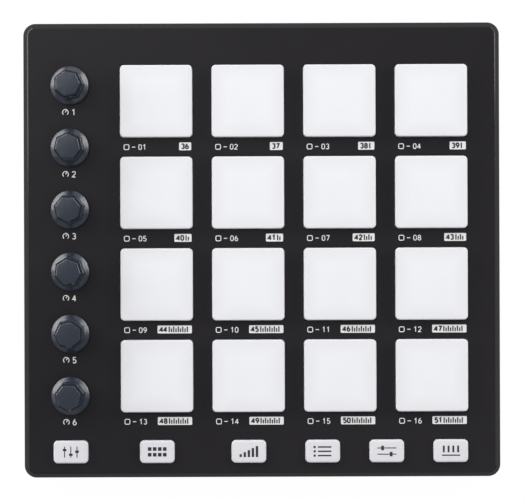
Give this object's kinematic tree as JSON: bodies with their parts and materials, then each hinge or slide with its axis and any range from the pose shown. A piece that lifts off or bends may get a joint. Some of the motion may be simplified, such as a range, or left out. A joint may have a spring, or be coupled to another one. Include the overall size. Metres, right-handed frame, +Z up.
{
  "type": "midi pad controller",
  "caption": "Flat black desktop MIDI pad controller with a grid of soft white pads, a column of faceted endless knobs, a front row of white buttons and a rear data socket.",
  "frame": {"origin": "on the table, under the middle of the case", "axes": "+X to the player's right, +Y to the rear, +Z up"},
  "size_m": [0.2, 0.1908, 0.0382],
  "materials": {
    "case_top": "fine matte texture",
    "case_bottom": "fine matte texture",
    "pad_silicone": "soft satin, slightly translucent",
    "button_silicone": "soft satin",
    "knob_plastic": "satin",
    "screw_black": "blackened",
    "screw_zinc": "zinc plated",
    "steel": "turned",
    "encoder_metal": "stamped and plated",
    "socket_shell": "plated",
    "board_green": "solder mask",
    "film_amber": "printed film",
    "frame_white": "plain moulded",
    "connector_ivory": "plain moulded",
    "light_white": "clear lens",
    "switch_black": "plain moulded",
    "plunger_ivory": "plain moulded",
    "chip_black": "plain moulded",
    "foot_rubber": "matte"
  },
  "bodies": {
    "case": {"top_case": "case_top", "bottom_case": "case_bottom", "main_board": "board_green", "pad_frame": "frame_white", "sensor_film": "film_amber", "film_connector": "connector_ivory", "pad_lights": "light_white", "switch_bodies": "switch_black", "usb_socket": "socket_shell", "controller_chip": "chip_black", "case_screws": "screw_black", "board_screws": "screw_zinc", "rubber_feet": "foot_rubber", "encoder_1": "encoder_metal", "encoder_2": "encoder_metal", "encoder_3": "encoder_metal", "encoder_4": "encoder_metal", "encoder_5": "encoder_metal", "encoder_6": "encoder_metal"},
    "knob_1": {"knob_1": "knob_plastic", "encoder_shaft_1": "steel"},
    "knob_2": {"knob_2": "knob_plastic", "encoder_shaft_2": "steel"},
    "knob_3": {"knob_3": "knob_plastic", "encoder_shaft_3": "steel"},
    "knob_4": {"knob_4": "knob_plastic", "encoder_shaft_4": "steel"},
    "knob_5": {"knob_5": "knob_plastic", "encoder_shaft_5": "steel"},
    "knob_6": {"knob_6": "knob_plastic", "encoder_shaft_6": "steel"},
    "pad_1": {"pad_1": "pad_silicone"},
    "pad_2": {"pad_2": "pad_silicone"},
    "pad_3": {"pad_3": "pad_silicone"},
    "pad_4": {"pad_4": "pad_silicone"},
    "pad_5": {"pad_5": "pad_silicone"},
    "pad_6": {"pad_6": "pad_silicone"},
    "pad_7": {"pad_7": "pad_silicone"},
    "pad_8": {"pad_8": "pad_silicone"},
    "pad_9": {"pad_9": "pad_silicone"},
    "pad_10": {"pad_10": "pad_silicone"},
    "pad_11": {"pad_11": "pad_silicone"},
    "pad_12": {"pad_12": "pad_silicone"},
    "pad_13": {"pad_13": "pad_silicone"},
    "pad_14": {"pad_14": "pad_silicone"},
    "pad_15": {"pad_15": "pad_silicone"},
    "pad_16": {"pad_16": "pad_silicone"},
    "button_1": {"button_1": "button_silicone", "switch_plunger_1": "plunger_ivory"},
    "button_2": {"button_2": "button_silicone", "switch_plunger_2": "plunger_ivory"},
    "button_3": {"button_3": "button_silicone", "switch_plunger_3": "plunger_ivory"},
    "button_4": {"button_4": "button_silicone", "switch_plunger_4": "plunger_ivory"},
    "button_5": {"button_5": "button_silicone", "switch_plunger_5": "plunger_ivory"},
    "button_6": {"button_6": "button_silicone", "switch_plunger_6": "plunger_ivory"}
  },
  "joints": [
    {"name": "knob_1_turn", "type": "hinge", "parent": "case", "child": "knob_1", "pos_m": [-0.0803, 0.0692, 0.024], "axis": [0, 0, 1], "continuous": true},
    {"name": "knob_2_turn", "type": "hinge", "parent": "case", "child": "knob_2", "pos_m": [-0.0803, 0.0432, 0.024], "axis": [0, 0, 1], "continuous": true},
    {"name": "knob_3_turn", "type": "hinge", "parent": "case", "child": "knob_3", "pos_m": [-0.0803, 0.0172, 0.024], "axis": [0, 0, 1], "continuous": true},
    {"name": "knob_4_turn", "type": "hinge", "parent": "case", "child": "knob_4", "pos_m": [-0.0803, -0.0088, 0.024], "axis": [0, 0, 1], "continuous": true},
    {"name": "knob_5_turn", "type": "hinge", "parent": "case", "child": "knob_5", "pos_m": [-0.0803, -0.0348, 0.024], "axis": [0, 0, 1], "continuous": true},
    {"name": "knob_6_turn", "type": "hinge", "parent": "case", "child": "knob_6", "pos_m": [-0.0803, -0.0608, 0.024], "axis": [0, 0, 1], "continuous": true},
    {"name": "pad_1_press", "type": "slide", "parent": "case", "child": "pad_1", "axis": [0, 0, -1], "range_m": [0, 0.001], "stiffness_N_per_m": 1400, "springref_m": -0.0005},
    {"name": "pad_2_press", "type": "slide", "parent": "case", "child": "pad_2", "axis": [0, 0, -1], "range_m": [0, 0.001], "stiffness_N_per_m": 1400, "springref_m": -0.0005},
    {"name": "pad_3_press", "type": "slide", "parent": "case", "child": "pad_3", "axis": [0, 0, -1], "range_m": [0, 0.001], "stiffness_N_per_m": 1400, "springref_m": -0.0005},
    {"name": "pad_4_press", "type": "slide", "parent": "case", "child": "pad_4", "axis": [0, 0, -1], "range_m": [0, 0.001], "stiffness_N_per_m": 1400, "springref_m": -0.0005},
    {"name": "pad_5_press", "type": "slide", "parent": "case", "child": "pad_5", "axis": [0, 0, -1], "range_m": [0, 0.001], "stiffness_N_per_m": 1400, "springref_m": -0.0005},
    {"name": "pad_6_press", "type": "slide", "parent": "case", "child": "pad_6", "axis": [0, 0, -1], "range_m": [0, 0.001], "stiffness_N_per_m": 1400, "springref_m": -0.0005},
    {"name": "pad_7_press", "type": "slide", "parent": "case", "child": "pad_7", "axis": [0, 0, -1], "range_m": [0, 0.001], "stiffness_N_per_m": 1400, "springref_m": -0.0005},
    {"name": "pad_8_press", "type": "slide", "parent": "case", "child": "pad_8", "axis": [0, 0, -1], "range_m": [0, 0.001], "stiffness_N_per_m": 1400, "springref_m": -0.0005},
    {"name": "pad_9_press", "type": "slide", "parent": "case", "child": "pad_9", "axis": [0, 0, -1], "range_m": [0, 0.001], "stiffness_N_per_m": 1400, "springref_m": -0.0005},
    {"name": "pad_10_press", "type": "slide", "parent": "case", "child": "pad_10", "axis": [0, 0, -1], "range_m": [0, 0.001], "stiffness_N_per_m": 1400, "springref_m": -0.0005},
    {"name": "pad_11_press", "type": "slide", "parent": "case", "child": "pad_11", "axis": [0, 0, -1], "range_m": [0, 0.001], "stiffness_N_per_m": 1400, "springref_m": -0.0005},
    {"name": "pad_12_press", "type": "slide", "parent": "case", "child": "pad_12", "axis": [0, 0, -1], "range_m": [0, 0.001], "stiffness_N_per_m": 1400, "springref_m": -0.0005},
    {"name": "pad_13_press", "type": "slide", "parent": "case", "child": "pad_13", "axis": [0, 0, -1], "range_m": [0, 0.001], "stiffness_N_per_m": 1400, "springref_m": -0.0005},
    {"name": "pad_14_press", "type": "slide", "parent": "case", "child": "pad_14", "axis": [0, 0, -1], "range_m": [0, 0.001], "stiffness_N_per_m": 1400, "springref_m": -0.0005},
    {"name": "pad_15_press", "type": "slide", "parent": "case", "child": "pad_15", "axis": [0, 0, -1], "range_m": [0, 0.001], "stiffness_N_per_m": 1400, "springref_m": -0.0005},
    {"name": "pad_16_press", "type": "slide", "parent": "case", "child": "pad_16", "axis": [0, 0, -1], "range_m": [0, 0.001], "stiffness_N_per_m": 1400, "springref_m": -0.0005},
    {"name": "button_1_press", "type": "slide", "parent": "case", "child": "button_1", "axis": [0, 0, -1], "range_m": [0, 0.0005], "stiffness_N_per_m": 200, "springref_m": -0.004},
    {"name": "button_2_press", "type": "slide", "parent": "case", "child": "button_2", "axis": [0, 0, -1], "range_m": [0, 0.0005], "stiffness_N_per_m": 200, "springref_m": -0.004},
    {"name": "button_3_press", "type": "slide", "parent": "case", "child": "button_3", "axis": [0, 0, -1], "range_m": [0, 0.0005], "stiffness_N_per_m": 200, "springref_m": -0.004},
    {"name": "button_4_press", "type": "slide", "parent": "case", "child": "button_4", "axis": [0, 0, -1], "range_m": [0, 0.0005], "stiffness_N_per_m": 200, "springref_m": -0.004},
    {"name": "button_5_press", "type": "slide", "parent": "case", "child": "button_5", "axis": [0, 0, -1], "range_m": [0, 0.0005], "stiffness_N_per_m": 200, "springref_m": -0.004},
    {"name": "button_6_press", "type": "slide", "parent": "case", "child": "button_6", "axis": [0, 0, -1], "range_m": [0, 0.0005], "stiffness_N_per_m": 200, "springref_m": -0.004}
  ]
}
